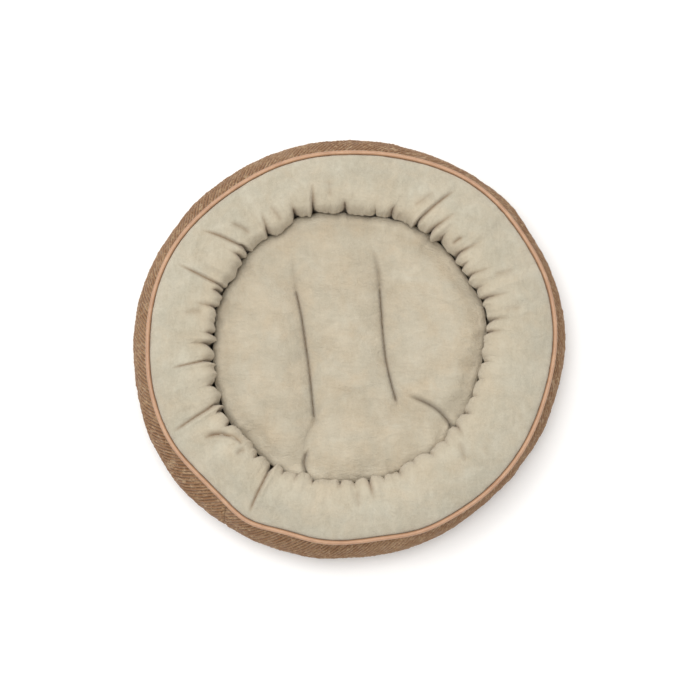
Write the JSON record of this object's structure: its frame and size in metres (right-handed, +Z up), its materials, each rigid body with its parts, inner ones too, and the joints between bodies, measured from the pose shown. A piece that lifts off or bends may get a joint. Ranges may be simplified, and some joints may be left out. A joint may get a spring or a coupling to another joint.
{
  "type": "pet cushion bed",
  "caption": "Round pet bed: a stuffed bolster ring with a piped rim and a gathered plush lining, on a flat cloth base, holding a loose quilted cushion.",
  "frame": {"origin": "on the floor, at the centre of the ring", "axes": "+Z up, through the middle of the well; the two stitched channels run about 8 degrees off the Y axis"},
  "size_m": [0.5, 0.5, 0.118],
  "materials": {
    "plush": "short-pile plush",
    "cushion_plush": "short-pile plush",
    "twill": "coarse ribbed weave",
    "piping": "smooth satin imitation leather",
    "base_cloth": "dotted non-slip cloth",
    "lining": "plain weave lining",
    "fibrefill": "polyester fibre",
    "elastic": "woven elastic tape",
    "cotton_cord": "twisted cotton cord",
    "cream_thread": "polyester sewing thread",
    "brown_thread": "polyester sewing thread",
    "label_satin": "blank satin ribbon"
  },
  "bodies": {
    "bed": {"base_panel": "base_cloth", "floor_panel": "lining", "side_band": "twill", "band_join_seam": "twill", "base_seam_thread": "brown_thread", "care_label": "label_satin", "bolster_fill": "fibrefill", "bolster_cover": "plush", "gather_elastic": "elastic", "inner_seam_thread": "cream_thread", "rim_piping_cover": "piping", "rim_piping_cord": "cotton_cord", "rim_seam_thread": "brown_thread"},
    "cushion": {"cushion_bottom_cover": "cushion_plush", "cushion_fill": "fibrefill", "cushion_top_cover": "cushion_plush", "cushion_edge_thread": "cream_thread", "channel_stitch_left": "cream_thread", "channel_stitch_right": "cream_thread"}
  },
  "joints": [
    {"name": "cushion_lift", "type": "slide", "parent": "bed", "child": "cushion", "axis": [0, 0, 1], "range_m": [0, 0.16]}
  ]
}
